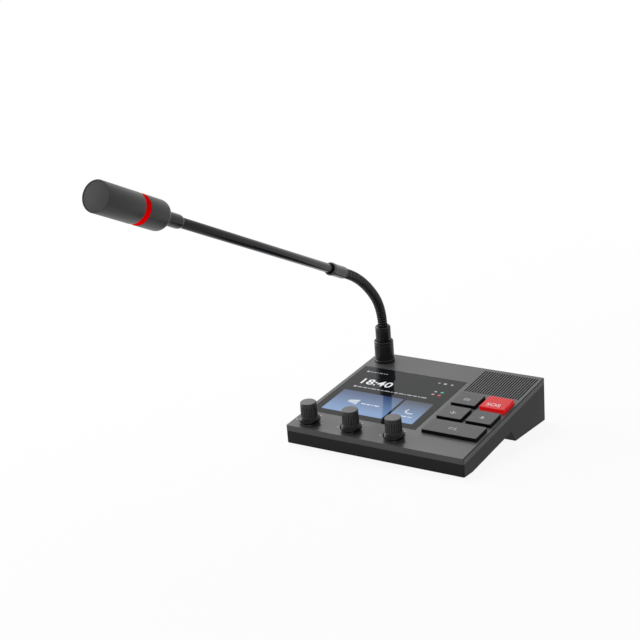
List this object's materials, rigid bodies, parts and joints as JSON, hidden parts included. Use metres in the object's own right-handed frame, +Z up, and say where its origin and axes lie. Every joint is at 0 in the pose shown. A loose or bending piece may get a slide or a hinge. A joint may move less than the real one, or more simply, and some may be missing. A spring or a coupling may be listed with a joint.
{
  "type": "paging microphone",
  "caption": "Desk paging microphone: sloped console with touch display, press keys, turning knobs and a speaker grille, and a bendable gooseneck with a lit ring on its head.",
  "frame": {"origin": "middle of the rear foot pad's underside, on the desk", "axes": "+Z up, +Y to the rear of the console, +X to the right as the user faces it"},
  "size_m": [0.1386, 0.3544, 0.2186],
  "materials": {
    "cover_grey": "satin",
    "housing_black": "satin",
    "pad_rubber": "matte",
    "screw_steel": "satin",
    "front_glass": "gloss",
    "display": "gloss",
    "cloth": "matte",
    "speaker_metal": "satin",
    "cone_paper": "matte",
    "board_green": "satin",
    "socket_shield": "satin",
    "socket_black": "matte",
    "key_grey": "satin",
    "key_red": "gloss",
    "knob_black": "satin",
    "shaft_metal": "satin",
    "control_metal": "satin",
    "nut_plate": "polished",
    "neck_black": "satin",
    "flex_black": "satin",
    "head_grey": "matte",
    "ring_red": "gloss",
    "mesh_grey": "matte",
    "foam": "matte",
    "capsule_metal": "satin",
    "holder_rubber": "matte"
  },
  "bodies": {
    "console": {"lower_housing": "housing_black", "top_cover": "cover_grey", "foot_pads": "pad_rubber", "housing_screws": "screw_steel", "screen_glass": "front_glass", "display_panel": "display", "grille_cloth": "cloth", "speaker_frame": "speaker_metal", "speaker_cone": "cone_paper", "speaker_magnet": "speaker_metal", "main_board": "board_green", "board_screws": "screw_steel", "lan_socket": "socket_shield", "power_socket": "socket_black", "audio_socket": "socket_black", "key_board": "board_green", "key_switches": "socket_black", "control_bodies": "control_metal", "control_nuts": "nut_plate", "control_board": "board_green", "neck_base": "neck_black", "neck_nut": "nut_plate", "neck_sleeve": "neck_black"},
    "wide_key": {"key_wide": "key_grey"},
    "left_key": {"key_left": "key_grey"},
    "right_key": {"key_right": "key_grey"},
    "upper_key": {"key_upper": "key_grey"},
    "red_key": {"key_red": "key_red"},
    "first_knob": {"knob_1": "knob_black", "knob_shaft_1": "shaft_metal"},
    "second_knob": {"knob_2": "knob_black", "knob_shaft_2": "shaft_metal"},
    "third_knob": {"knob_3": "knob_black", "knob_shaft_3": "shaft_metal"},
    "neck": {"flex_tube": "flex_black"},
    "arm": {"neck_ferrule": "neck_black", "arm_tube": "neck_black", "head_adaptor": "neck_black", "head_rear_shell": "head_grey", "light_ring": "ring_red", "ring_board": "board_green", "head_sleeve": "head_grey", "front_mesh": "mesh_grey", "wind_foam": "foam", "mic_capsule": "capsule_metal", "capsule_holder": "holder_rubber"}
  },
  "joints": [
    {"name": "wide_key_press", "type": "slide", "parent": "console", "child": "wide_key", "axis": [0, 0.1435, -0.9897], "range_m": [0, 0.0015], "stiffness_N_per_m": 500},
    {"name": "left_key_press", "type": "slide", "parent": "console", "child": "left_key", "axis": [0, 0.1435, -0.9897], "range_m": [0, 0.0015], "stiffness_N_per_m": 500},
    {"name": "right_key_press", "type": "slide", "parent": "console", "child": "right_key", "axis": [0, 0.1435, -0.9897], "range_m": [0, 0.0015], "stiffness_N_per_m": 500},
    {"name": "upper_key_press", "type": "slide", "parent": "console", "child": "upper_key", "axis": [0, 0.1435, -0.9897], "range_m": [0, 0.0015], "stiffness_N_per_m": 500},
    {"name": "red_key_press", "type": "slide", "parent": "console", "child": "red_key", "axis": [0, 0.1435, -0.9897], "range_m": [0, 0.0015], "stiffness_N_per_m": 500},
    {"name": "first_knob_turn", "type": "hinge", "parent": "console", "child": "first_knob", "pos_m": [-0.05543, -0.10689, 0.01612], "axis": [0, -0.1435, 0.9897], "range_deg": [-150, 150]},
    {"name": "second_knob_turn", "type": "hinge", "parent": "console", "child": "second_knob", "pos_m": [-0.02162, -0.10689, 0.01612], "axis": [0, -0.1435, 0.9897], "range_deg": [-150, 150]},
    {"name": "third_knob_turn", "type": "hinge", "parent": "console", "child": "third_knob", "pos_m": [0.01218, -0.10689, 0.01612], "axis": [0, -0.1435, 0.9897], "range_deg": [-150, 150]},
    {"name": "neck_pitch", "type": "hinge", "parent": "console", "child": "neck", "pos_m": [-0.05742, -0.00415, 0.08095], "axis": [1, 0, 0], "range_deg": [-55, 25], "deforming": ["flex_tube"]},
    {"name": "neck_yaw", "type": "hinge", "parent": "neck", "child": "arm", "pos_m": [-0.05742, -0.03741, 0.1068], "axis": [0, 0.4472, 0.8944], "range_deg": [-40, 40], "deforming": ["flex_tube"]}
  ]
}
